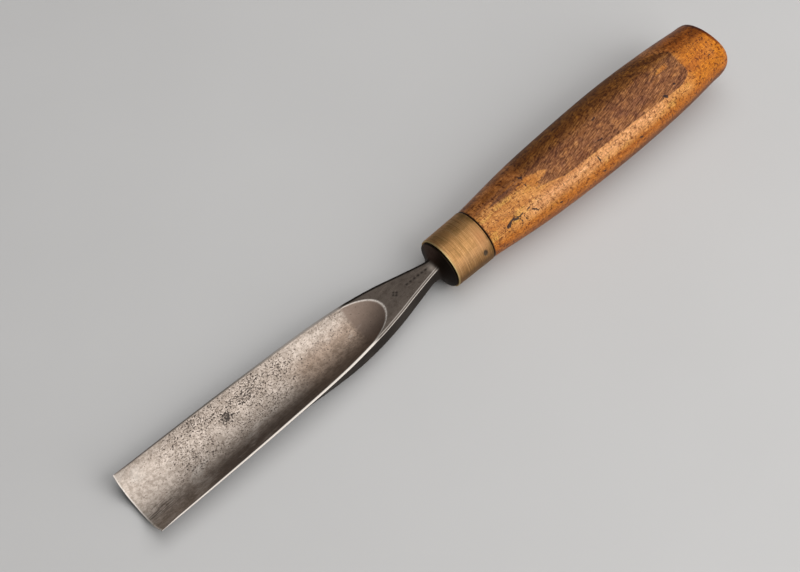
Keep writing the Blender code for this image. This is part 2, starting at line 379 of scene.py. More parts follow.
# %% Rings of the blade
POINTS = 100  # on the top of a ring, and as many underneath
LAND_POINTS = 5
CORNER_RADIUS = 0.14
EDGE_CORNER_RADIUS = 0.03
CORNER_TURNS = (30, 60)
print("each ring of the blade has", 2 * POINTS, "points")


def top_shares():
    """Where the top's points are: the inner ones across the flute, the outer ones on a land."""
    inner = np.linspace(-1, 1, POINTS - 2 * (LAND_POINTS + len(CORNER_TURNS)))
    return inner, np.arange(1, LAND_POINTS + 1) / LAND_POINTS


def underside(half, height):
    """Side distance and drop of the back's points, for rows of half width and height."""
    share = np.linspace(1, -1, POINTS)[None, :]
    radius = (half**2 + height**2) / (2 * height)
    reach = np.arccos((radius - height) / radius)
    thin_y = radius * np.sin(reach * share)
    thin_drop = radius * np.cos(reach * share) - (radius - height)
    side = SIDE_SHARE * height
    down = (1 - np.abs(share)) / (1 - BELLY_POINTS)
    turn = share / BELLY_POINTS * math.pi / 2
    on_side = np.abs(share) > BELLY_POINTS
    deep_y = np.where(on_side, np.sign(share) * (half + SIDE_FLARE * down),
                      (half + SIDE_FLARE) * np.sin(turn))
    deep_drop = np.where(on_side, side * down, side + (height - side) * np.cos(turn))
    return thin_y, thin_drop, deep_y, deep_drop


def blade_rings(x):
    half, top, under = (column[:, None] for column in smooth_through(FORGING, x))
    x = x[:, None]
    corner = between(EDGE_CORNER_RADIUS, CORNER_RADIUS, eased(x / BEVEL_HEEL))
    rim = rim_width(x)
    inner, outer = top_shares()
    land_y = (half - rim) + (rim - corner) * outer[None, :]
    flute_y = (half - rim) * inner[None, :]
    turns = np.radians(CORNER_TURNS)
    corner_y = half - corner + corner * np.sin(turns)[None, :]
    top_y = np.hstack([-corner_y[:, ::-1], -land_y[:, ::-1], flute_y, land_y, corner_y])
    inside = np.clip(top_y, -(half - corner), half - corner)
    wide_x = np.broadcast_to(x, top_y.shape)
    top_z, meet, below = top_surface(wide_x, inside, half, top)
    around = np.sqrt(np.maximum(corner**2 - (np.abs(top_y) - np.abs(inside)) ** 2, 0))
    top_z = top_z - (corner - around)
    start = top - top_z[:, :1] + corner * np.cos(turns[-1])
    edge = top - flute_depth(x) - EDGE_THICKNESS
    bottom = between(edge, -under, np.clip(x / BEVEL_HEEL, 0, 1))
    height = top - bottom
    thin_y, thin_drop, deep_y, deep_drop = underside(half, height)
    shank = eased((x - SHANK_BEGINS) / (SHANK_FORMED - SHANK_BEGINS))
    back_y = between(thin_y, deep_y, shank)
    drop = between(thin_drop, deep_drop, shank)
    back_z = top - (start + drop * (height - start) / height)
    y = np.hstack([top_y, back_y])
    z = np.hstack([top_z, back_z])
    on_top = np.hstack([np.ones_like(top_y), np.zeros_like(back_y)])
    meet = np.hstack([meet, np.zeros_like(back_y)])
    below = np.hstack([below, np.full_like(back_y, 1.0)])
    return y, z, {"on_top": on_top, "meet": meet, "below": below}


# %% [markdown]
# ## The neck
#
# Behind the neck the ring is treated as a distance in each direction from the tool's axis. The
# larger of the shank's and the cove's distance wins, softly, which gives the smooth saddle that a
# smith leaves there. The rings stand closest together where the shape changes fastest.

# %% Draw the blade's rings and flare the neck
COVE_SOFTNESS = 1.7
COVE_RIM = 0.15  # how far inside the disc's rim the cove ends
NECK_FADE = 1.2  # how fast the cove gives way to the shank, in front of the neck
bolster_front = BOLSTER_BACK - BOLSTER_RIM
stations = steps(
    0, 0.2, 2, 0.35, BEVEL_HEEL, 0.7, 100, 0.3, 120, 0.3, 137, 0.3, NECK, 0.18, bolster_front
)
y, z, marks = blade_rings(stations)
cove = (stations - NECK) / (bolster_front - NECK)
cove_radius = between(NECK_RADIUS, BOLSTER_RADIUS - COVE_RIM, np.clip(cove, 0, 1) ** COVE_POWER)
cove_radius = cove_radius - NECK_FADE * np.maximum(NECK - stations, 0)
reach = np.hypot(y, z)
flared = soft_max(reach, np.maximum(cove_radius, 0)[:, None], COVE_SOFTNESS)
near_neck = eased((stations - 136) / 3)[:, None]
grown = between(reach, flared, near_neck) / reach
y, z = y * grown, z * grown
print("the neck is", round(float(np.ptp(y[np.searchsorted(stations, NECK)])), 1), "mm wide")

# %% [markdown]
# ## What the handle hides
#
# The bolster's rim and the square tang are simple rings, with no masks of their own. The tang
# tapers to a blunt point, so that it wedges tight as it is driven in.

# %% Add the bolster's rim and the tang
TANG_RINGS = 14


def round_ring(x, radius, angles):
    return np.stack([np.full_like(angles, x), radius * np.cos(angles), radius * np.sin(angles)], -1)


def square_ring(x, half, angles):
    reach = half / np.maximum(np.abs(np.cos(angles)), np.abs(np.sin(angles)))
    return np.stack([np.full_like(angles, x), reach * np.cos(angles), reach * np.sin(angles)], -1)


directions = np.arctan2(z[-1], y[-1])
disc = [
    (bolster_front + 0.06, BOLSTER_RADIUS - 0.04),
    (bolster_front + 0.17, BOLSTER_RADIUS),
    (BOLSTER_BACK - 0.17, BOLSTER_RADIUS),
    (BOLSTER_BACK - 0.05, BOLSTER_RADIUS - 0.05),
    (BOLSTER_BACK, BOLSTER_RADIUS - 0.17),
    (BOLSTER_BACK, 7.5),
]
tail = [round_ring(place, radius, directions) for place, radius in disc]
tail += [square_ring(BOLSTER_BACK, half, directions) for half in (4.4, TANG_ROOT + 0.3)]
for place in np.linspace(BOLSTER_BACK + 0.4, TANG_END - 0.4, TANG_RINGS):
    share = (place - BOLSTER_BACK) / (TANG_END - BOLSTER_BACK)
    tail.append(square_ring(place, between(TANG_ROOT, TANG_TIP, share), directions))
tail.append(square_ring(TANG_END, TANG_TIP - 0.4, directions))
print("the bolster and the tang have", len(tail), "rings")

# %% [markdown]
# ## The cutting edge
#
# A gouge that has been sharpened by hand for a lifetime is not quite square. The edge leans back a
# little on the left, its middle is worn slightly hollow, both corners are eased, and there are
# small nicks near the right-hand one. The shift fades out over the first part of the blade.

# %% Shape the cutting edge
EDGE_SKEW = 0.41
CORNER_WEAR = 0.35
EDGE_HOLLOW = 0.3
EDGE_REACH = 12.0
NICK_REACH = 1.2
NICKS = [  # place across the blade, depth and width
    (-12.6, 0.42, 0.55),
    (-11.2, 0.16, 0.3),
    (-6.4, 0.1, 0.35),
    (3.2, 0.08, 0.5),
    (9.6, 0.12, 0.3),
]

side = y / FORGING[0][1]
shift = EDGE_SKEW * side + CORNER_WEAR * np.abs(side) ** 6 + EDGE_HOLLOW * (1 - side**2)
nick = sum(depth * bump_at(y, place, width) for place, depth, width in NICKS)
fade = np.clip(1 - stations[:, None] / EDGE_REACH, 0, 1)
near_edge = np.clip(1 - stations[:, None] / NICK_REACH, 0, 1)
x = stations[:, None] + shift * fade + nick * near_edge
rings = np.concatenate([np.stack([x, y, z], axis=-1), np.array(tail)])
print("the edge is worn back by up to", round(float((shift + nick)[0].max()), 2), "mm")

# %% [markdown]
# ## Where the rims are rubbed bright, and where light and shade are painted
#
# Hands and strops rub whatever stands proud. The near rim is rubbed bright and also gets a painted
# highlight along its whole length. On the shank it splits into two thin lines with a dull land between
# them. The far rim gets less of that painted brightness, and it ends in a line of painted shade along
# the shank. The U at the end of the flute shines all round.

# %% Find the rims, the U and the neck
along = stations[:, None]
half_here = smooth_through(FORGING, stations)[0][:, None]
rim_here = rim_width(along)
on_rim = eased((np.abs(y) - (half_here - rim_here)) / 0.12 + 0.5) * marks["on_top"]
in_flute = marks["on_top"] * eased(-marks["below"] / 0.25 + 0.4)
worn_u = marks["meet"] * (np.abs(y) < half_here - rim_here - 0.2)
across_rim = (np.abs(y) - (half_here - rim_here)) / rim_here
double_line = bump_at(across_rim, 0.02, 0.20) + bump_at(across_rim, 0.95, 0.20)
on_shank = eased((along - 104) / 5)
# The rims are rubbed bright, and the near rim gets more of it than the far one as a painted highlight.
rim_wear_and_highlight = between(on_rim * eased((across_rim + 0.1) / 0.5), on_rim * double_line * 0.75, on_shank)
rim_wear_and_highlight = rim_wear_and_highlight * np.where(y > 0, (0.15 + 0.5 * bump_at(along, 86, 26)) * (1 - on_shank), 1)
rim_wear_and_highlight = rim_wear_and_highlight * eased((144.5 - along) / 3)
# A line of painted shade along the far rim of the shank.
far_rim_shade = on_rim * (y > 0) * on_shank
keen = eased((0.75 - along) / 0.45) * marks["on_top"]
# A painted highlight across the top of the neck.
neck_highlight = bump_at(along, 142.2, 1.3) * marks["on_top"] * bump_at(y, -0.6, 1.8)
dots = [bump_at(np.hypot(along - px, y - py), 0, PUNCH_SIZE) for px, py in PUNCH_ROW + PUNCH_DIAMOND]
punched = np.clip(sum(dots) * marks["on_top"], 0, 1)
print("the bright rims and the U cover", round(100 * float((rim_wear_and_highlight + worn_u > 0.5).mean()), 1), "%")

# %% [markdown]
# ## Where the flute is pitted and dark
#
# Rust bites deepest in the middle of the blade, where a polished flute is wiped least, and one cluster
# of pits is worse than the rest. The near wall of the flute is painted dark as shade. The run-out was
# never wiped bright, so it stays dark and brown. Close to the edge the steel is honed often, and is
# scored by it.

# %% Find the pits, the painted shade on the near wall and the brown end
run_out = eased((along - RAMP_FOOT - 0.2) / 1.6) * in_flute
# Painted shade on the near wall of the flute, standing in for its dark reflection.
near_wall_shade = eased((-y - 1) / 8.5) * between(0.22, 1, eased(along / 40)) * in_flute
near_wall_shade = near_wall_shade * (1 - 0.22 * eased((along - 74) / 12))
brown_end = eased((along - 68) / 16) * eased((9 - y) / 7) * in_flute
pits = eased((along - 10) / 18) * (1 - 0.5 * eased((along - 72) / 12))
pits = pits * (1 - 0.75 * eased((-y - 0.5) / 5)) * (1 - 0.85 * run_out)
pits = pits * (0.75 + 0.25 * bump_at(y, 9.5, 3.5))
pits = np.clip(pits * (1 - 0.6 * patch_at(along - 43, y - 1.8, 4, 1.8)) * in_flute, 0, 1)
cluster = patch_at(along - 46.8, y - 6.3, 2.6, 1.7) * in_flute
scored = eased((24 - along) / 20) * bump_at(y, -4.6, 3.6) * in_flute
# The bolster's front face is painted dark as shade, and lighter where it faces up as painted light.
front_face = eased((stations - 142.8) / 1.6)[:, None]
bolster_face_light = eased((z + 1) / 7) * eased((y + 4) / 8) * front_face
print("pits cover", round(100 * float((pits > 0.5).mean()), 1), "% of the blade's rings")

# %% [markdown]
# ## The blade, skinned
#
# Each mask is a field over the blade's rings. The rings behind them get one value: none of it for
# nearly all masks, and all of it for the front of the bolster's disc, which the tang continues.

# %% Skin the blade and lay it down
blade_fields = {
    "ground": in_flute, "arris": worn_u, "rim": np.clip(rim_wear_and_highlight, 0, 1), "run_out": run_out,
    "near_wall_shade": near_wall_shade, "brown_end": brown_end, "pits": pits, "cluster": cluster,
    "scored": scored, "on_top": marks["on_top"], "far_rim_shade": far_rim_shade, "keen": keen,
    "neck_highlight": neck_highlight, "punched": punched, "front_face": front_face, "bolster_face_light": bolster_face_light,
}
blade_masks = {}
for name, field in blade_fields.items():
    behind = np.full((len(tail), y.shape[1]), float(name == "front_face"))
    blade_masks[name] = np.vstack([np.broadcast_to(field, y.shape), behind])
blade = lay_on_bench(skin("blade_forging", rings, blade_masks, ("ladder", "fan")), "blade")

# %% [markdown]
# ## The ferrule
#
# The ferrule is a short brass tube, a hair wider at the wood. It was parted off on a lathe, so its
# rims are eased, and one punch mark near the back keys it to the wood. The ring goes along
# the outside and comes back through the bore, which makes a tube with no ends to cap, so its first
# and last rings are joined instead.

# %% Turn the ferrule
FERRULE_FRONT = 147.4
FERRULE_REAR = 165.0
FRONT_RADIUS = 10.65
REAR_RADIUS = 11.0
BORE = 9.6
RIM_EASE = 0.3
TURNS_ROUND = 288
DIMPLE_PLACE = 161.4
DIMPLE_TURN = math.radians(68)  # towards the right-hand side
DIMPLE_DEPTH = 0.34
DIMPLE_LENGTH = 0.95
DIMPLE_WIDTH = 1.35
DIMPLE_LIP = 0.05  # the ring of metal that the punch pushed up


def quarter(centre_x, centre_r, radius, start, count=5):
    """Points of a quarter round, turning from one side to the next: start is in degrees."""
    turns = np.radians(start + 90 * np.linspace(0, 1, count))
    return [(centre_x + radius * math.cos(t), centre_r + radius * math.sin(t)) for t in turns]


outline = quarter(FERRULE_REAR - RIM_EASE, REAR_RADIUS - RIM_EASE, RIM_EASE, 0)
for place in np.linspace(FERRULE_REAR - RIM_EASE - 0.3, FERRULE_FRONT + 0.6, 62):
    share = (place - FERRULE_FRONT) / (FERRULE_REAR - FERRULE_FRONT)
    outline.append((place, between(FRONT_RADIUS, REAR_RADIUS, share)))
outline += quarter(FERRULE_FRONT + 0.22, FRONT_RADIUS - 0.22, 0.22, 90)
outline += [(FERRULE_FRONT, 10.1), (FERRULE_FRONT, BORE + 0.1), (FERRULE_FRONT + 0.1, BORE)]
outline += [(150, BORE), (156, BORE), (162, BORE)]
outline += [(FERRULE_REAR - 0.1, BORE), (FERRULE_REAR, BORE + 0.1), (FERRULE_REAR, 10.2)]

around = np.linspace(0, 2 * math.pi, TURNS_ROUND, endpoint=False)
place, radius = np.array(outline).T
place = np.broadcast_to(place[:, None], (len(outline), TURNS_ROUND))
radius = np.broadcast_to(radius[:, None], place.shape)
outer = eased((radius - 10.2) / 0.3)
across = (around[None, :] - DIMPLE_TURN) * REAR_RADIUS
dent = patch_at(place - DIMPLE_PLACE, across, DIMPLE_LENGTH, DIMPLE_WIDTH)
lip = bump_at(np.hypot((place - DIMPLE_PLACE) / 1.25, across / 1.7), 1, 0.35)
radius = radius - outer * (DIMPLE_DEPTH * dent - DIMPLE_LIP * lip)
tube = np.stack([place, -radius * np.sin(around), radius * np.cos(around)], axis=-1)
print("the ferrule is", FERRULE_REAR - FERRULE_FRONT, "mm long")

# %% [markdown]
# ## Where the brass is stained, and where light and shade are painted
#
# Brass keeps a record of fingers, and it dulls beside the rims. A painted highlight lies on its upper
# right-hand side and along the front lip. Painted shade darkens its right-hand side low down and
# underneath, and it is darker in patches on the far side.

# %% Mask the ferrule and lay it down
rims = bump_at(place, FERRULE_REAR, 1.1) + bump_at(place, FERRULE_FRONT, 0.35)
turned_round = around[None, :] + 0 * place
# The front lip's painted highlight, strongest where it faces the light.
lip_highlight_turn = between(0.45, 1, bump_at(turned_round, 0.55, 0.9))
ferrule_masks = {
    "rims": np.clip(rims, 0, 1) * outer,
    "front_lip_highlight": bump_at(place, FERRULE_FRONT + 0.05, 0.18) * eased((radius - 10.1) / 0.3) * lip_highlight_turn,
    "bore": 1 - eased((radius - 9.75) / 0.2),
    # A painted highlight on the upper right-hand side, where the light falls.
    "ferrule_highlight": bump_at(turned_round, 0.90, 0.22),
    # Painted shade low on the right-hand side and underneath.
    "low_side_shade": eased((turned_round - 1.2) / 0.4) * eased((3.1 - turned_round) / 0.9),
    "dimple": dent,
    # Darker in patches on the far side.
    "far_side_patches": bump_at(turned_round, 2 * math.pi - 0.25, 0.5),
    "red_patch": patch_at(place - 162.5, turned_round - 0.55, 2.6, 0.35),
}
ferrule = lay_on_bench(closed_tube("ferrule_tube", tube, ferrule_masks), "ferrule")

# %% [markdown]
# ## The handle
#
# The barrel was turned between centres, swelling towards the palm. Its outline is a list of places
# and radii, with rings close enough together to carry small dents. The corner at the butt is
# a quarter round on most of its way, and squarer on the right-hand side, where it is worn less.

# %% Turn the barrel
SHOULDER = 165.3
BARREL = [(SHOULDER, 10.75), (190, 13.2), (215, 14.5), (241, 14.95), (266, 14.05), (283, 12.6)]
CORNER_BEGINS = 283.0
CORNER_RINGS = 26
BUTT_END = 291.9
BUTT_CROWN = 6.2
ROUND_CORNER = 2.0  # a circle-like corner; a larger number is squarer
SQUARE_CORNER = 3.1
RING_SPACING = 0.38
GRAIN_TURNS = 264  # points round each ring


def barrel_rows():
    """The barrel's outline from the shoulder to the middle of the butt."""
    rows = [(SHOULDER, 10.1), (SHOULDER, 10.35), (SHOULDER + 0.08, 10.58)]
    places = steps(SHOULDER + 0.3, RING_SPACING, CORNER_BEGINS)
    rows += list(zip(places, smooth_through(BARREL, places)[0]))
    corner = smooth_through(BARREL, [CORNER_BEGINS])[0][0]
    for turn in np.radians(np.linspace(4, 90, CORNER_RINGS)):
        radius = between(BUTT_CROWN, corner, math.cos(turn))
        rows.append((between(CORNER_BEGINS, BUTT_END, math.sin(turn)), radius))
    rows += [(BUTT_END, BUTT_CROWN * share) for share in np.linspace(0.9, 0.1, 9)]
    return np.array(rows)


rows = barrel_rows()
angles = np.linspace(0, 2 * math.pi, GRAIN_TURNS, endpoint=False)[None, :]
degrees_right = in_degrees(angles)
place = np.broadcast_to(rows[:, :1], (len(rows), GRAIN_TURNS))
turned = np.broadcast_to(rows[:, 1:], place.shape)
squareness = bump_at(degrees_right, 82, 42) + 0.3 * bump_at(degrees_right, -60, 45)
power = between(ROUND_CORNER, SQUARE_CORNER, squareness)
along_corner = np.clip((place - CORNER_BEGINS) / (BUTT_END - CORNER_BEGINS), 0, 1)
fuller = (1 - along_corner**power) ** (1 / power) - (1 - along_corner**2) ** 0.5
turned = turned + (BARREL[-1][1] - BUTT_CROWN) * fuller
print("the barrel has", len(rows), "rings of", GRAIN_TURNS, "points")

# %% [markdown]
# ## The planed flat
#
# One long flat was planed along the top so that the tool doesn't roll. The ring is a distance from
# the axis in each direction, so the plane's cut is simply the smaller of two distances. The flat's
# right-hand edge is still crisp, and its left-hand edge has been rubbed round.

# %% Plane the flat
FLAT_FROM = 181.0
FLAT_TO = 277.0
FLAT_FADE = 14.0
FLAT_FRONT = (200.0, 5.2, math.radians(18.3))  # place, half width, turn towards the right
FLAT_REAR = (260.0, 6.3, math.radians(20.8))
FADE_LIFT = 0.3  # how far the plane has lifted clear of the wood at the flat's ends
RUBBED = 0.3  # the flat's rounded left-hand edge, and then its crisp right-hand one
CRISP = 0.05

full = smooth_through(BARREL, rows[:, 0])[0][:, None]
back = np.clip((place - FLAT_FRONT[0]) / (FLAT_REAR[0] - FLAT_FRONT[0]), -0.3, 1.2)
half_width = between(FLAT_FRONT[1], FLAT_REAR[1], back)
depth = full - np.sqrt(full**2 - half_width**2)
fade = eased(np.minimum(place - FLAT_FROM, FLAT_TO - place) / FLAT_FADE)
facing = angles - between(FLAT_FRONT[2], FLAT_REAR[2], back)
facing = (facing + math.pi) % (2 * math.pi) - math.pi
plane = (full - depth * fade + FADE_LIFT * (1 - fade)) / np.maximum(np.cos(facing), 0.05)
softness = between(RUBBED, CRISP, eased(facing / 0.3 + 0.5))
planed = np.where(turned > 10.6, soft_min(turned, plane, softness), turned)
flat_mask = eased((turned - plane) / 0.12 + 0.5) * (np.abs(facing) < 1)
print("the flat widens from", 2 * FLAT_FRONT[1], "to", 2 * FLAT_REAR[1], "mm")

# %% [markdown]
# ## Knocks
#
# Old handles are full of small knocks. Each one below is a short stroke on the barrel: where it
# begins and ends, as a place along the tool and a turn to the right in degrees, then its width and
# its depth. The deep ones near the ferrule hold old dark dirt, which the finish reads as a blot.

# %% Dent the barrel
KNOCKS = [
    ((174.0, 51.8), (175.6, 47.4), 0.72, 0.14),
    ((175.9, 46.2), (177.5, 44.0), 0.42, 0.11),
    ((173.3, 52.5), (173.7, 49.0), 0.40, 0.06),
    ((177.6, 47.2), (178.8, 49.6), 0.55, 0.10),
    ((178.9, 45.4), (180.0, 49.0), 0.34, 0.08),
    ((180.2, 48.0), (181.6, 46.2), 0.35, 0.08),
    ((174.9, 53.0), (174.5, 68.0), 0.26, 0.06),
    ((179.6, 52.0), (180.2, 60.0), 0.26, 0.06),
    ((180.2, 60.0), (178.8, 71.0), 0.24, 0.06),
    ((181.6, 52.0), (182.0, 61.0), 0.24, 0.06),
    ((184.2, 45.6), (185.0, 45.0), 0.38, 0.08),
    ((185.8, 51.5), (187.0, 56.0), 0.32, 0.12),
    ((187.2, 55.0), (187.6, 60.0), 0.26, 0.08),
    ((201.6, 46.0), (200.8, 62.0), 0.20, 0.06),
    ((218.8, 49.5), (219.2, 58.0), 0.30, 0.09),
    ((219.4, 27.6), (222.4, 30.5), 0.24, 0.048),
    ((222.4, 30.5), (225.0, 32.6), 0.30, 0.055),
    ((224.4, 27.0), (224.9, 30.5), 0.22, 0.050),
    ((226.6, 0.5), (228.0, -0.8), 0.28, 0.08),
    ((188.8, 3.0), (189.1, 15.0), 0.24, 0.05),
    ((189.0, -5.0), (189.8, -3.0), 0.80, 0.05),
    ((256.2, 43.6), (256.8, 46.0), 0.60, 0.22),
    ((262.8, 38.2), (263.0, 38.8), 0.38, 0.10),
    ((282.4, 38.6), (282.7, 39.2), 0.34, 0.10),
    ((280.5, 4.5), (279.6, 7.5), 0.28, 0.06),
    ((197.3, 75.5), (198.0, 77.0), 0.50, 0.08),
    ((219.2, 79.5), (220.0, 81.0), 0.50, 0.08),
    ((239.3, 72.0), (240.2, 74.0), 0.50, 0.08),
    ((234.0, -62.0), (238.0, -58.0), 0.55, 0.12),
    ((205.0, -112.0), (207.0, -108.0), 0.60, 0.10),
    ((262.0, -160.0), (265.0, -158.0), 0.70, 0.12),
    ((190.0, 150.0), (192.0, 147.0), 0.60, 0.10),
    ((212.0, -84.0), (216.0, -82.0), 0.30, 0.08),
    ((250.0, 118.0), (251.0, 126.0), 0.40, 0.10),
]
KNOCK_RADIUS = 14.0  # the barrel's radius, near enough to turn degrees into millimetres
DIRTY_DEPTH = 0.09  # a knock this deep is filled with dirt


def stroke(start, end, width):
    """How deep in a short stroke each point of the barrel is, from 0 to 1."""
    run = (end[0] - start[0], math.radians(end[1] - start[1]) * KNOCK_RADIUS)
    ahead = place - start[0]
    sideways = np.radians(in_degrees(angles - math.radians(start[1]))) * KNOCK_RADIUS
    share = np.clip((ahead * run[0] + sideways * run[1]) / (run[0] ** 2 + run[1] ** 2), 0, 1)
    return bump_at(np.hypot(ahead - share * run[0], sideways - share * run[1]), 0, width)


dents = np.zeros_like(place)
blots = np.zeros_like(place)
for start, end, width, deep in KNOCKS:
    mark = stroke(start, end, width)
    dents = np.maximum(dents, deep * mark)
    blots = np.maximum(blots, mark * min(deep / DIRTY_DEPTH, 1))
print(len(KNOCKS), "knocks, the deepest", round(float(dents.max()), 2), "mm")

# %% [markdown]
# ## Waviness and the sawn butt
#
# No hand-finished barrel is a perfect surface of revolution, so a slow waviness is added, least on
# the planed flat. The end was sawn askew. The saw's cut is again the smaller of two distances, this
# time along the tool, with a slightly rounded rim.

# %% Wave the barrel and saw its end
WAVE_SIZE = 22.0
WAVE_DEPTH = 0.09
BUTT_CUT = 290.4  # where the saw crosses the barrel's axis
BUTT_SKEW_SIDE = math.radians(12)
BUTT_SKEW_UP = math.radians(9)
SAWN_RIM = 0.5


def wave(x, y, z, size):
    """A slow, smooth random number for each point."""
    field = np.empty(x.shape)
    for i in np.ndindex(x.shape):
        field[i] = noise.noise(Vector((x[i] / size, y[i] / size, z[i] / size)))
    return field


on_barrel = eased((place - SHOULDER - 1) / 6)
waves = wave(place, -turned * np.sin(angles), turned * np.cos(angles), WAVE_SIZE)
radius = planed - dents + WAVE_DEPTH * waves * on_barrel * (1 - 0.6 * flat_mask)
y = -radius * np.sin(angles)
z = radius * np.cos(angles)
cut = BUTT_CUT - y * math.tan(BUTT_SKEW_SIDE) - z * math.tan(BUTT_SKEW_UP)
x = np.where(place > CORNER_BEGINS - 3, soft_min(place, cut, SAWN_RIM), place)
print("the barrel ends", round(float(x.max()), 1), "mm from the cutting edge")

# %% [markdown]
# ## Tenon and socket
#
# In front of the shoulder the wood is turned down to a tenon for the ferrule and pierced by the
# square socket for the tang. None of that shows on the finished tool, but the piece is whole, as
# it would be on the bench.

# %% Close the handle inside the ferrule
TENON_FRONT = 147.4
TENON_RADIUS = 9.3
SOCKET_ROOT = 3.8
SOCKET_TIP = 1.9
SOCKET_END = 209.1
SOCKET_RINGS = 12

flat_angles = math.pi / 2 + np.linspace(0, 2 * math.pi, GRAIN_TURNS, endpoint=False)
hidden = []
for inside in np.linspace(SOCKET_END, TENON_FRONT + 0.2, SOCKET_RINGS):
    share = (inside - TENON_FRONT) / (SOCKET_END - TENON_FRONT)
    hidden.append(square_ring(inside, between(SOCKET_ROOT, SOCKET_TIP, share), flat_angles))
hidden += [square_ring(TENON_FRONT, SOCKET_ROOT + 0.2, flat_angles)]
hidden += [round_ring(TENON_FRONT, 7.0, flat_angles)]
hidden += [round_ring(TENON_FRONT, TENON_RADIUS - 0.3, flat_angles)]
hidden += [round_ring(inside, TENON_RADIUS, flat_angles) for inside in (147.7, 153, 159, 165.1)]
hidden += [round_ring(SHOULDER, TENON_RADIUS + 0.1, flat_angles)]
rings = np.concatenate([np.array(hidden), np.stack([x, y, z], axis=-1)])
print("the tenon and the socket have", len(hidden), "rings")

# %% [markdown]
# ## Where the handle is grimy, and where shade is painted
#
# Dirt settled on the planed flat, which never got a polish, and the same dark colour runs on round the
# far side as painted shade. It begins raggedly near the ferrule, stops before the butt, fades out round
# the back, and has one spot that was rubbed clean.

# %% Find the grime and the far side's painted shade
far_round = eased((-degrees_right - 5) / 40)
front_line = 191 + 8 * bump_at(degrees_right, 13, 8) + 11 * eased((degrees_right - 27) / 13)
front_reach = 7 + 5 * bump_at(degrees_right, 27, 8) + 22 * far_round
grime_and_shade = eased((place - front_line) / front_reach + 0.45)
grime_and_shade = grime_and_shade * eased((271.5 - place) / (2.5 + 22 * far_round))
grime_and_shade = grime_and_shade * np.where(facing > 0, flat_mask, eased((degrees_right + 140) / 80))
grime_and_shade = grime_and_shade * (1 - 0.75 * patch_at(place - 262.5, degrees_right - 6, 5, 4.5))
print("grime lies on", round(100 * float((grime_and_shade > 0.5).mean())), "% of the barrel's points")

# %% [markdown]
# ## Where the wood is pale, dark or sawn
#
# The barrel is coloured differently on each side, so each side gets a mask that fades out softly. There
# is a band of painted light on the near side, and painted shade on the far side and low on the near
# side. They all end at the sawn face, which has a finish of its own. A thin line of painted shade
# darkens the saw's rim on the far side.

# %% Find the sides, the ends and the sawn rim
end_face = eased((place - cut - 0.1) / 0.5)
barrel_only = 1 - end_face
to_the_far_side = eased((60 - degrees_right) / 40) * eased((degrees_right + 178) / 60)
# A thin line of painted shade along the far rim of the sawn end.
sawn_rim_shade = eased((place - cut + 1.7) / 0.4) * to_the_far_side
# Painted shade on the far side of the barrel.
far_side_shade = eased((-degrees_right + 4) / 14) * eased((degrees_right + 179) / 80)
underneath = eased((degrees_right - 60) / 16) * eased((179 - degrees_right) / 50)
# Painted shade on the lower right-hand side of the barrel and underneath.
low_side_shade = eased((degrees_right - 76) / 22) * eased((179 - degrees_right) / 60)
low_side_shade = low_side_shade * between(0.62, 1, eased((place - 212) / 22))
# Where the barrel faces up, the far side's painted shade is lighter.
less_shade_upward = eased((degrees_right + 26) / 50)
butt_end = eased((place - 266) / 8)
# A band of painted light along the near side, where the light falls most.
near_light_band = bump_at(degrees_right, 52, 12) * eased((place - 178) / 12) * eased((266 - place) / 22)
front_streaks = bump_at(degrees_right, -3, 11) * eased((196 - place) / 10)
print("the sawn face is", round(float(np.ptp(y[end_face > 0.5])), 1), "mm wide")

# %% [markdown]
# ## The handle, skinned
#
# As on the blade, each mask is a field over the barrel's rings. The wood inside the ferrule gets
# none of any of them, except for the dark line at the shoulder.

# %% Skin the handle and lay it down
handle_fields = {
    "flat": flat_mask, "front_streaks": front_streaks, "grime_and_shade": grime_and_shade, "butt_end": butt_end,
    "far_top": bump_at(degrees_right, -4, 12) * barrel_only, "less_shade_upward": less_shade_upward * barrel_only,
    "butt_rim_shade": sawn_rim_shade * barrel_only, "end_face": end_face, "far_side_shade": far_side_shade * barrel_only,
    "underneath": underneath * barrel_only, "low_side_shade": low_side_shade * barrel_only,
    "near_light_band": near_light_band, "blot": blots, "shoulder": 1 - eased((place - SHOULDER - 0.2) / 0.5),
}
handle_masks = {}
for name, field in handle_fields.items():
    in_front = np.full((len(hidden), GRAIN_TURNS), float(name == "shoulder"))
    handle_masks[name] = np.vstack([in_front, np.broadcast_to(field, place.shape)])
handle = lay_on_bench(skin("handle_barrel", rings, handle_masks, ("fan", "fan")), "handle")

# %% [markdown]
# ## A short vocabulary for finishes
#
# A finish is a small network of nodes. Three classes name the moves that all the finishes share,
# and each builds on the one before. The first reads masks and does sums. The pieces lie tilted on
# the bench, so it also undoes the tilt: every noise then runs straight along the tool.

# %% Masks and sums


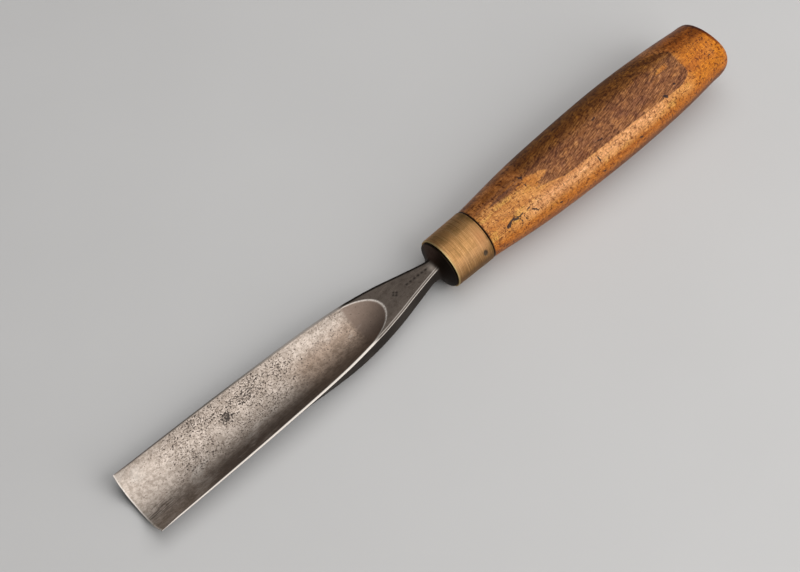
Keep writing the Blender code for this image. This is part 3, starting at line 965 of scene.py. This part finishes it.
class Nodes:
    """The network of one material."""

    def __init__(self, name):
        self.material = bpy.data.materials.new(name)
        self.material.use_nodes = True
        self.tree = self.material.node_tree
        self.shader = self.tree.nodes["Principled BSDF"]
        straighten = self.tree.nodes.new("ShaderNodeMapping")
        straighten.vector_type = "TEXTURE"
        straighten.inputs["Location"].default_value = tool_to_bench.to_translation()
        straighten.inputs["Rotation"].default_value = tool_to_bench.to_euler()
        where = self.tree.nodes.new("ShaderNodeTexCoord").outputs["Object"]
        self.tree.links.new(where, straighten.inputs["Vector"])
        self.place = straighten.outputs["Vector"]

    def wire(self, socket, value):
        if isinstance(value, bpy.types.NodeSocket):
            self.tree.links.new(value, socket)
        elif isinstance(value, tuple) and len(value) == 3 and socket.type == "RGBA":
            socket.default_value = (*value, 1)
        else:
            socket.default_value = value

    def mask(self, name):
        node = self.tree.nodes.new("ShaderNodeAttribute")
        node.attribute_name = name
        return node.outputs["Fac"]

    def sum(self, operation, a, b=0.0, clamp=False):
        node = self.tree.nodes.new("ShaderNodeMath")
        node.operation = operation
        node.use_clamp = clamp
        self.wire(node.inputs[0], a)
        self.wire(node.inputs[1], b)
        return node.outputs[0]

    def times(self, a, b):
        return self.sum("MULTIPLY", a, b)

    def part(self, name, share):
        """A mask, weakened."""
        return self.times(self.mask(name), share)


print("a finish can read", len(blade_masks), "masks on the blade")

# %% [markdown]
# ## Noises
#
# A noise gives every point a random number that changes smoothly. Stretched along the tool it
# becomes scratches or grain, and picked above a threshold it becomes pits or flecks.

# %% Stretch a noise and pick its peaks


class Textures(Nodes):
    """Adds the noises."""

    def stretched(self, stretch, turn=(0, 0, 0)):
        """The object's coordinates, squeezed along axes that are turned first."""
        node = self.tree.nodes.new("ShaderNodeMapping")
        node.vector_type = "TEXTURE"
        self.wire(node.inputs["Vector"], self.place)
        node.inputs["Scale"].default_value = [1 / share for share in stretch]
        node.inputs["Rotation"].default_value = turn
        return node.outputs[0]

    def noise(self, size_mm, stretch=(1, 1, 1), detail=2.0, rough=0.5, turn=(0, 0, 0)):
        node = self.tree.nodes.new("ShaderNodeTexNoise")
        self.wire(node.inputs["Vector"], self.stretched(stretch, turn))
        node.inputs["Scale"].default_value = 1 / (size_mm * MM)
        node.inputs["Detail"].default_value = detail
        node.inputs["Roughness"].default_value = rough
        return node.outputs[0]

    def pick(self, value, low, high):
        """0 below low and 1 above high, softly. With low above high it picks the hollows."""
        node = self.tree.nodes.new("ShaderNodeMapRange")
        node.interpolation_type = "SMOOTHSTEP"
        self.wire(node.inputs["Value"], value)
        node.inputs["From Min"].default_value = low
        node.inputs["From Max"].default_value = high
        return node.outputs["Result"]

    def some(self, value, low, high, share):
        """What was picked, weakened."""
        return self.times(self.pick(value, low, high), share)


print("a noise is set by its size in mm, its stretch, its detail and its turn")

# %% [markdown]
# ## Coats
#
# A finish is painted in coats, from the ground colour up. A coat either covers what is below it by
# some share, or stains it like varnish. Relief is laid last, as a bump that only the light sees.

# %% Lay one colour over another


class Finish(Textures):
    """Adds the coats and puts the material on a piece."""

    def over(self, below, above, share, how="MIX"):
        """One colour laid over another."""
        node = self.tree.nodes.new("ShaderNodeMix")
        node.data_type = "RGBA"
        node.blend_type = how
        self.wire(node.inputs[0], share)
        self.wire(node.inputs[6], below)
        self.wire(node.inputs[7], above)
        return node.outputs[2]

    def stained(self, below, tint, share):
        """A colour seen through a stain, which multiplies it."""
        return self.over(below, tint, share, "MULTIPLY")

    def blend(self, a, b, share):
        """A number that goes from a to b."""
        node = self.tree.nodes.new("ShaderNodeMix")
        self.wire(node.inputs[0], share)
        self.wire(node.inputs[2], a)
        self.wire(node.inputs[3], b)
        return node.outputs[0]

    def relief(self, height, depth_mm, strength=1.0, normal=None):
        node = self.tree.nodes.new("ShaderNodeBump")
        node.inputs["Strength"].default_value = strength
        node.inputs["Distance"].default_value = depth_mm * MM
        self.wire(node.inputs["Height"], height)
        if normal is not None:
            self.wire(node.inputs["Normal"], normal)
        return node.outputs[0]

    def cover(self, piece, colour, roughness, normal, metallic=0.0):
        """Gives the finish its surface and puts it on a piece."""
        self.wire(self.shader.inputs["Base Color"], colour)
        self.wire(self.shader.inputs["Roughness"], roughness)
        self.wire(self.shader.inputs["Normal"], normal)
        self.wire(self.shader.inputs["Metallic"], metallic)
        piece.data.materials.append(self.material)
        print(self.material.name, "has", len(self.tree.nodes), "nodes")


# %% [markdown]
# ## Old steel
#
# Steel that has been ground, rusted and rubbed shows marks of several sizes at once: clouds of
# tarnish, blotches, a mottle, specks and fine scratches from the slipstone. Each one is a noise of
# its own size here, and the scratches are stretched lengthwise.

# %% Choose the steel's noises
steel = Finish("old_steel")
ground = steel.mask("ground")
cloud = steel.noise(9, (0.5, 1, 1), 4, 0.6)
blotch = steel.noise(4.2, (0.6, 1, 1), 4, 0.6)
mottle = steel.noise(1.5, (0.8, 1, 1), 6, 0.7)
speck = steel.noise(0.56, (0.85, 1, 1), 4, 0.66)
fine_speck = steel.noise(0.36, (0.85, 1, 1), 2, 0.6)
long_lines = steel.noise(0.42, (0.025, 1, 1), 3, 0.6)
grit = steel.noise(0.22, (0.7, 1, 1), 3, 0.7)
scratch = steel.noise(0.16, (0.03, 1, 1), 3, 0.6)
scores = steel.noise(0.34, (0.05, 1, 1), 3, 0.6)
skin_grain = steel.noise(0.5, (1, 1, 1), 4, 0.7)
print("the steel reads noises from 0.16 to 9 mm")

# %% [markdown]
# ## The polished flute
#
# The flute was ground and polished bright. Tarnish has clouded it since, browner towards the shank. The
# near wall, where little light is mirrored, is painted dark as shade.

# %% Colour the flute
bright = steel.over((0.38, 0.32, 0.27), (0.60, 0.52, 0.455), steel.pick(mottle, 0.38, 0.60))
bright = steel.stained(bright, (0.62, 0.58, 0.55), steel.some(grit, 0.5, 0.68, 0.7))
bright = steel.stained(bright, (0.70, 0.66, 0.63), steel.some(blotch, 0.51, 0.62, 0.38))
bright = steel.stained(bright, (1.25, 1.25, 1.26), steel.some(blotch, 0.49, 0.38, 0.3))
bright = steel.stained(bright, (0.72, 0.62, 0.54), steel.part("brown_end", 0.85))
# The near wall is painted dark as shade.
bright = steel.over(bright, (0.12, 0.092, 0.074), steel.part("near_wall_shade", 0.86))
bright = steel.over(bright, (0.27, 0.20, 0.16), steel.part("run_out", 0.85))
wall_lines = steel.times(steel.mask("near_wall_shade"), steel.pick(long_lines, 0.48, 0.60))
bright = steel.stained(bright, (0.76, 0.73, 0.70), wall_lines)
bright = steel.over(bright, (0.74, 0.68, 0.62), steel.some(cloud, 0.56, 0.70, 0.4))
cut = steel.times(steel.mask("scored"), steel.pick(scores, 0.51, 0.58))
bright = steel.over(bright, (0.09, 0.068, 0.050), steel.times(cut, 0.75))
print("with the flute's colour:", len(steel.tree.nodes), "nodes")

# %% [markdown]
# ## The forged skin
#
# The shank and the neck were never polished, so they kept a brown-grey skin, darker on the sides than on
# top, with dirt in the punched marks. The top of the neck gets a painted highlight, and a line of
# painted shade runs along the far rim. The front of the bolster is painted nearly black as shade, and
# lighter where it faces up as painted light.

# %% Colour the shank
dull = steel.over((0.100, 0.080, 0.066), (0.140, 0.113, 0.094), steel.pick(cloud, 0.3, 0.7))
dull = steel.over(dull, (0.15, 0.125, 0.105), steel.some(skin_grain, 0.5, 0.70, 0.5))
side = steel.over((0.030, 0.023, 0.019), (0.058, 0.046, 0.038), steel.pick(cloud, 0.3, 0.7))
dull = steel.stained(dull, (0.62, 0.58, 0.56), steel.some(mottle, 0.50, 0.62, 0.6))
dull = steel.stained(dull, (1.5, 1.5, 1.5), steel.some(scores, 0.56, 0.64, 0.6))
dull = steel.over(side, dull, steel.mask("on_top"))
# The painted highlight on the neck.
dull = steel.over(dull, (0.34, 0.29, 0.25), steel.part("neck_highlight", 0.7))
# A line of painted shade along the far rim of the shank.
dull = steel.over(dull, (0.016, 0.012, 0.010), steel.part("far_rim_shade", 0.9))
dull = steel.over(dull, (0.022, 0.017, 0.014), steel.part("punched", 0.85))
# Painted shade on the bolster's front face, lighter where it faces up as painted light.
bolster_face_shade = steel.over((0.016, 0.009, 0.005), (0.082, 0.046, 0.032), steel.mask("bolster_face_light"))
bolster_face_shade = steel.stained(bolster_face_shade, (0.7, 0.6, 0.55), steel.some(mottle, 0.44, 0.58, 0.5))
dull = steel.over(dull, bolster_face_shade, steel.mask("front_face"))
colour = steel.over(dull, bright, ground)
print("with the shank's colour:", len(steel.tree.nodes), "nodes")

# %% [markdown]
# ## Pits and rubbed edges
#
# Rust ate small pits into the flute, thickest in the middle of the blade. A pit grows wherever the
# specks rise above a threshold, and the threshold is lower where the steel was attacked. Along the rims
# and the U, where hands and strops rub, the steel is bright again. On the near rim that brightness is
# also a painted highlight.

# %% Pit the flute and rub its edges
eaten = steel.times(steel.mask("pits"), steel.blend(0.6, 1.0, steel.pick(cloud, 0.36, 0.60)))
eaten = steel.times(eaten, steel.blend(0.84, 1.14, steel.pick(blotch, 0.42, 0.60)))
threshold = steel.sum("ADD", speck, steel.times(eaten, 0.135))
threshold = steel.sum("ADD", threshold, steel.part("cluster", 0.13))
threshold = steel.sum("ADD", threshold, steel.some(mottle, 0.4, 0.7, 0.05))
pit = steel.times(steel.pick(threshold, 0.66, 0.71), ground)
pin = steel.sum("ADD", fine_speck, steel.times(eaten, 0.12))
pin = steel.times(steel.pick(pin, 0.69, 0.75), steel.times(ground, 0.75))
halo = steel.times(steel.pick(threshold, 0.57, 0.68), ground)
colour = steel.over(colour, (0.25, 0.19, 0.15), steel.times(halo, 0.55))
pit = steel.sum("MAXIMUM", pit, pin)
colour = steel.over(colour, (0.040, 0.030, 0.025), steel.times(pit, 0.92))
rubbed = steel.times(steel.mask("arris"), steel.pick(skin_grain, 0.26, 0.56))
# Rubbed wear on the rims, with a painted highlight on the near rim.
rubbed = steel.sum("MAXIMUM", rubbed, steel.times(steel.mask("rim"), steel.pick(grit, 0.15, 0.4)))
rubbed = steel.sum("MAXIMUM", rubbed, steel.times(steel.mask("keen"), steel.pick(mottle, 0.30, 0.45)))
colour = steel.over(colour, (0.76, 0.70, 0.64), rubbed)
print("pitted and rubbed:", len(steel.tree.nodes), "nodes")

# %% [markdown]
# ## The feel of the steel
#
# Dull skin is rougher than polished steel, and a pit is roughest of all and barely metallic,
# because it is full of rust.

# %% Finish the blade
roughness = steel.blend(0.62, 0.54, ground)
roughness = steel.sum("ADD", roughness, steel.times(mottle, 0.10))
roughness = steel.sum("ADD", roughness, steel.times(pit, 0.25), clamp=True)
relief = steel.relief(scratch, 0.006, 0.5)
relief = steel.relief(skin_grain, 0.012, 0.35, relief)
relief = steel.relief(steel.sum("SUBTRACT", 1.0, pit), 0.05, 0.6, relief)
metal = steel.blend(0.9, 1.0, ground)
metal = steel.blend(metal, 0.25, pit)
steel.cover(blade, colour, roughness, relief, metal)

# %% [markdown]
# ## Brass that is handled every day
#
# The lathe left fine rings round the ferrule, which show as thin lines across its shine. Brass goes
# olive and brown where nobody touches it, near the rims, with a redder stain where it once sat wet, and
# it is darker in patches on the far side. The very front lip gets a painted highlight.

# %% Colour the brass
brass = Finish("handled_brass")
rings_fine = brass.noise(0.20, (1, 0.022, 0.022), 2, 0.6)
ring_lines = brass.noise(0.26, (1, 0.020, 0.020), 1, 0.5)
rings_wide = brass.noise(0.7, (1, 0.03, 0.03), 2, 0.5)
rubs = brass.noise(0.3, (0.12, 1, 1), 3, 0.6)
tarnish = brass.noise(4.5, (1, 1, 1), 5, 0.6)
spots = brass.noise(0.6, (1, 1, 1), 3, 0.6)
colour = brass.over((0.27, 0.145, 0.052), (0.46, 0.245, 0.096), brass.pick(rings_fine, 0.40, 0.58))
colour = brass.over(colour, (0.70, 0.43, 0.20), brass.some(ring_lines, 0.56, 0.64, 0.5))
# The painted highlight on the upper right-hand side.
colour = brass.over(colour, (0.54, 0.30, 0.14), brass.part("ferrule_highlight", 0.45))
colour = brass.over(colour, (0.22, 0.115, 0.040), brass.some(rubs, 0.5, 0.7, 0.4))
print("bare brass:", len(brass.tree.nodes), "nodes")

# %% [markdown]
# ## Tarnish
#
# The tarnish lies over the bare brass in patches. It fills the dimple and the bore. Painted shade
# darkens the underside, and a painted highlight lies along the front lip.

# %% Tarnish the ferrule
# The far side is darker in patches.
stain = brass.sum("ADD", brass.mask("rims"), brass.part("far_side_patches", 0.45))
stain = brass.sum("MULTIPLY", stain, brass.pick(tarnish, 0.30, 0.60), clamp=True)
stain = brass.sum("ADD", stain, brass.some(tarnish, 0.52, 0.72, 0.4), clamp=True)
colour = brass.over(colour, (0.17, 0.105, 0.035), brass.times(stain, 0.7))
colour = brass.over(colour, (0.30, 0.13, 0.06), brass.part("red_patch", 0.5))
colour = brass.over(colour, (0.11, 0.06, 0.03), brass.some(spots, 0.66, 0.74, 0.7))
# Painted shade low on the right-hand side and underneath.
colour = brass.over(colour, (0.14, 0.066, 0.020), brass.part("low_side_shade", 0.8))
colour = brass.over(colour, (0.075, 0.058, 0.044), brass.some(brass.mask("dimple"), 0.10, 0.60, 0.9))
# A painted highlight along the front lip.
colour = brass.over(colour, (0.98, 0.80, 0.40), brass.mask("front_lip_highlight"))
colour = brass.over(colour, (0.10, 0.07, 0.04), brass.mask("bore"))
roughness = brass.sum("ADD", brass.blend(0.50, 0.62, stain), brass.times(rings_fine, 0.12))
relief = brass.relief(rings_fine, 0.03, 0.8)
relief = brass.relief(rings_wide, 0.02, 0.5, relief)
brass.cover(ferrule, colour, roughness, relief, 1.0)

# %% [markdown]
# ## Oiled, handled wood
#
# The wood is a pale, fine-grained hardwood that oil and hands have turned orange. Its marks run
# along the grain, apart from the lathe's fine lines round the barrel and the plane's slanting
# hatch on the flat.

# %% Choose the wood's noises
wood = Finish("oiled_hardwood")
fibre = wood.noise(0.35, (0.06, 1, 1), 4, 0.6)
streak = wood.noise(2.2, (0.10, 1, 1), 4, 0.6)
patch = wood.noise(7, (0.5, 1, 1), 5, 0.6)
fleck = wood.noise(0.92, (0.9, 0.62, 0.62), 4, 0.68)
pale_fleck = wood.noise(1.05, (0.6, 1, 1), 3, 0.6)
pores = wood.noise(0.44, (0.45, 1, 1), 2, 0.6)
turning = wood.noise(0.55, (1, 0.25, 0.25), 3, 0.6)
grain_dash = wood.noise(0.40, (0.16, 1, 1), 3, 0.6)
hatch = wood.noise(0.34, (0.075, 1, 1), 2, 0.5, (0, 0, math.radians(17)))
smudge = wood.noise(3.2, (0.6, 1, 1), 4, 0.65)
gold = wood.noise(3.6, (0.45, 1, 1), 3, 0.6)
end_grain = wood.noise(1.1, (1, 1, 0.16), 3, 0.6, (math.radians(35), 0, 0))
print("the wood reads noises from 0.34 to 7 mm")

# %% [markdown]
# ## The colour of each side
#
# A band of painted light lies along the near side. The underside is browner, painted shade darkens the
# far side and the near side low down, and the wood near the ferrule is streaked dark.

# %% Colour the barrel
colour = wood.over((0.48, 0.165, 0.022), (0.66, 0.29, 0.075), wood.pick(patch, 0.36, 0.60))
colour = wood.over(colour, (0.68, 0.36, 0.075), wood.some(gold, 0.52, 0.64, 0.6))
# The near side's band of painted light.
colour = wood.over(colour, (0.76, 0.37, 0.15), wood.part("near_light_band", 0.85))
colour = wood.over(colour, (0.55, 0.165, 0.006), wood.part("butt_end", 0.85))
colour = wood.over(colour, (0.52, 0.155, 0.012), wood.part("underneath", 0.85))
# Painted shade low on the right-hand side of the barrel.
colour = wood.over(colour, (0.14, 0.036, 0.003), wood.part("low_side_shade", 0.85))
shaded_end = wood.times(wood.mask("butt_end"), wood.mask("far_top"))
colour = wood.stained(colour, (0.66, 0.60, 0.50), shaded_end)
# The far side is painted darker as shade.
side = wood.over((0.22, 0.072, 0.014), (0.42, 0.155, 0.040), wood.pick(smudge, 0.40, 0.62))
side = wood.stained(side, (0.78, 0.62, 0.35), wood.mask("butt_end"))
colour = wood.over(colour, side, wood.part("far_side_shade", 0.92))
streaky = wood.times(wood.mask("front_streaks"), wood.pick(streak, 0.42, 0.54))
colour = wood.over(colour, (0.17, 0.066, 0.032), wood.times(streaky, 0.95))
print("with the barrel's sides:", len(wood.tree.nodes), "nodes")

# %% [markdown]
# ## The sawn end, the grime and the painted shade
#
# The sawn end shows dark rays of end grain. The planed flat never got a polish, so dirt has settled into
# it along the plane's hatch, with lighter patches where it was rubbed clean. On the far side the same
# dark colour is painted shade, and it is lighter where the surface faces up.

# %% Colour the sawn end and the flat
sawn_end = wood.over((0.20, 0.062, 0.012), (0.36, 0.130, 0.030), wood.pick(smudge, 0.40, 0.64))
sawn_end = wood.stained(sawn_end, (0.55, 0.42, 0.36), wood.pick(end_grain, 0.50, 0.62))
colour = wood.over(colour, sawn_end, wood.mask("end_face"))
# The grime's colour, which on the far side is painted shade, lighter where it faces up.
grime_and_shade_colour = wood.over((0.165, 0.058, 0.009), (0.27, 0.105, 0.038), wood.mask("less_shade_upward"))
grime_and_shade_colour = wood.stained(grime_and_shade_colour, (0.50, 0.43, 0.40), wood.pick(hatch, 0.50, 0.60))
grime_and_shade_colour = wood.stained(grime_and_shade_colour, (1.6, 1.75, 1.7), wood.pick(hatch, 0.46, 0.36))
grime_and_shade_colour = wood.stained(grime_and_shade_colour, (0.70, 0.64, 0.72), wood.pick(smudge, 0.48, 0.62))
grime_and_shade_colour = wood.stained(grime_and_shade_colour, (1.35, 1.4, 1.2), wood.some(gold, 0.50, 0.64, 0.7))
broken = wood.sum("ADD", streak, wood.sum("ADD", smudge, fleck))
dirt = wood.sum("ADD", wood.mask("grime_and_shade"), wood.times(wood.sum("SUBTRACT", broken, 1.5), 0.9))
colour = wood.over(colour, grime_and_shade_colour, wood.pick(dirt, 0.30, 0.70))
print("with the grime:", len(wood.tree.nodes), "nodes")

# %% [markdown]
# ## Flecks, pores and blots
#
# Short dark flecks and pores lie along the grain, fewer of them on the flat. The deep knocks hold ragged
# dark blots, a dark line marks the shoulder, and a line of painted shade darkens the far rim of the sawn
# end.

# %% Mark the wood
colour = wood.stained(colour, (0.72, 0.58, 0.46), wood.some(streak, 0.50, 0.64, 0.6))
colour = wood.stained(colour, (0.50, 0.38, 0.34), wood.some(grain_dash, 0.54, 0.62, 0.7))
bare = wood.sum("SUBTRACT", 0.95, wood.part("flat", 0.6))
flecks = wood.times(wood.pick(fleck, 0.545, 0.61), bare)
colour = wood.stained(colour, (0.32, 0.22, 0.16), flecks)
colour = wood.stained(colour, (1.36, 1.52, 1.8), wood.some(pale_fleck, 0.46, 0.36, 0.75))
colour = wood.stained(colour, (0.55, 0.42, 0.34), wood.some(turning, 0.53, 0.62, 0.6))
pore = wood.pick(pores, 0.60, 0.66)
colour = wood.over(colour, (0.055, 0.020, 0.009), wood.times(pore, 0.75))
# Painted shade along the far rim of the sawn end.
colour = wood.stained(colour, (0.30, 0.16, 0.10), wood.part("butt_rim_shade", 0.9))
ragged = wood.sum("ADD", wood.mask("blot"), wood.times(fleck, 1.5))
blot = wood.times(wood.pick(ragged, 1.02, 1.26), wood.pick(wood.mask("blot"), 0.10, 0.35))
colour = wood.over(colour, (0.020, 0.011, 0.012), wood.times(blot, 0.93))
colour = wood.over(colour, (0.012, 0.008, 0.005), wood.mask("shoulder"))
print("with its marks:", len(wood.tree.nodes), "nodes")

# %% [markdown]
# ## The feel of the wood
#
# Oiled wood is only softly shiny, and dirty wood less so. Fibres, flecks, pores and the plane's
# hatch all leave a slight relief.

# %% Finish the handle
DULL_OIL = 0.16  # how strongly the oiled surface mirrors the light

grime_rough = wood.blend(0.42, 0.60, wood.mask("grime_and_shade"))
roughness = wood.sum("ADD", grime_rough, wood.times(pore, 0.25), clamp=True)
relief = wood.relief(fibre, 0.02, 0.35)
relief = wood.relief(fleck, 0.04, 0.45, relief)
relief = wood.relief(wood.sum("SUBTRACT", 1.0, pore), 0.05, 0.5, relief)
relief = wood.relief(wood.times(hatch, wood.mask("flat")), 0.05, 0.6, relief)
wood.shader.inputs["Specular IOR Level"].default_value = DULL_OIL
wood.cover(handle, colour, roughness, relief)

# %% [markdown]
# ## The bench
#
# The floor is one plain pale sheet, far larger than the view. A little unevenness in its
# roughness is enough to keep it from looking like paper.

# %% Lay the floor
FLOOR_SIZE = 6.0
bpy.ops.mesh.primitive_plane_add(size=FLOOR_SIZE)
floor = bpy.context.object
floor.name = "floor"
floor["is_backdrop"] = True
pale = Finish("pale_bench")
tone = pale.noise(60, (1, 1, 1), 3, 0.5)
pale.cover(floor, pale.over((0.53, 0.52, 0.51), (0.56, 0.55, 0.54), tone),
           pale.blend(0.6, 0.7, tone), pale.relief(pale.noise(1.5), 0.01, 0.2))

# %% [markdown]
# ## Light
#
# One very large soft light hangs almost straight above the tool. Polished steel mirrors it along the far
# half of the flute and leaves the near wall dark. Painted shade on that wall helps, which makes the
# hollow read as a hollow.
# A smaller one stands lower on the right-hand side, and a dim, even sky fills the rest.

# %% Set the light
SOFT_BOXES = (  # name, direction from the tool, distance in metres, width in metres, watts
    ("key", (0.28, -0.16, 0.95), 1.25, 1.8, 17),
    ("near_box", (0.26, -0.80, 0.54), 1.2, 1.1, 9),
)
SKY = (0.80, 0.82, 0.85, 1)
SKY_STRENGTH = 0.13
middle = (cad_box[0] + cad_box[1]) / 2


def soft_light(name, towards, distance, size, watts):
    """A square soft box that faces the tool."""
    lamp = bpy.data.lights.new(name, "AREA")
    lamp.shape = "SQUARE"
    lamp.size = size
    lamp.energy = watts
    lamp_object = bpy.data.objects.new(name, lamp)
    direction = Vector(towards).normalized()
    lamp_object.location = middle + direction * distance
    lamp_object.rotation_euler = direction.to_track_quat("Z", "Y").to_euler()
    bpy.context.scene.collection.objects.link(lamp_object)
    print(name, "shines with", watts, "watts from", distance, "m away")


for box in SOFT_BOXES:
    soft_light(*box)
world = bpy.data.worlds.new("studio")
world.use_nodes = True
sky = world.node_tree.nodes["Background"]
sky.inputs["Color"].default_value = SKY
sky.inputs["Strength"].default_value = SKY_STRENGTH
bpy.context.scene.world = world
bpy.context.scene.view_settings.view_transform = "Standard"

# %% [markdown]
# ## Camera
#
# The camera looks down on the tool from beyond its cutting edge, with a long lens, so that the
# blade comes towards the viewer at the lower left and the handle goes away at the upper right.

# %% Place the camera
LENS = 111.34  # mm, on film 36 mm wide
STANDS_AT = (-0.33904, -0.35129, 0.80272)
LOOKS_ALONG = (0.34881654, 0.38283138, -0.8554339)
ITS_RIGHT = (0.73918229, -0.67350541, 0)

camera = bpy.data.cameras.new("camera")
camera.sensor_width = 36
camera.lens = LENS
camera_object = bpy.data.objects.new("camera", camera)
look = Vector(LOOKS_ALONG)
right = Vector(ITS_RIGHT)
up = right.cross(look)
turn = Matrix((right, up, -look)).transposed().to_4x4()
camera_object.matrix_world = Matrix.Translation(STANDS_AT) @ turn
bpy.context.scene.collection.objects.link(camera_object)
bpy.context.scene.camera = camera_object
print("the camera stands", round((Vector(STANDS_AT) - middle).length, 2), "m from the tool")

# %% [markdown]
# ## Measure and finish
#
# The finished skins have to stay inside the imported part's box. Both boxes are written down, so
# that they can be compared after every change.

# %% Write the sizes
visual_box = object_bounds()
for name, (low, high) in (("packed part", cad_box), ("finished tool", visual_box)):
    print(name, [round(side / MM, 2) for side in high - low], "mm")
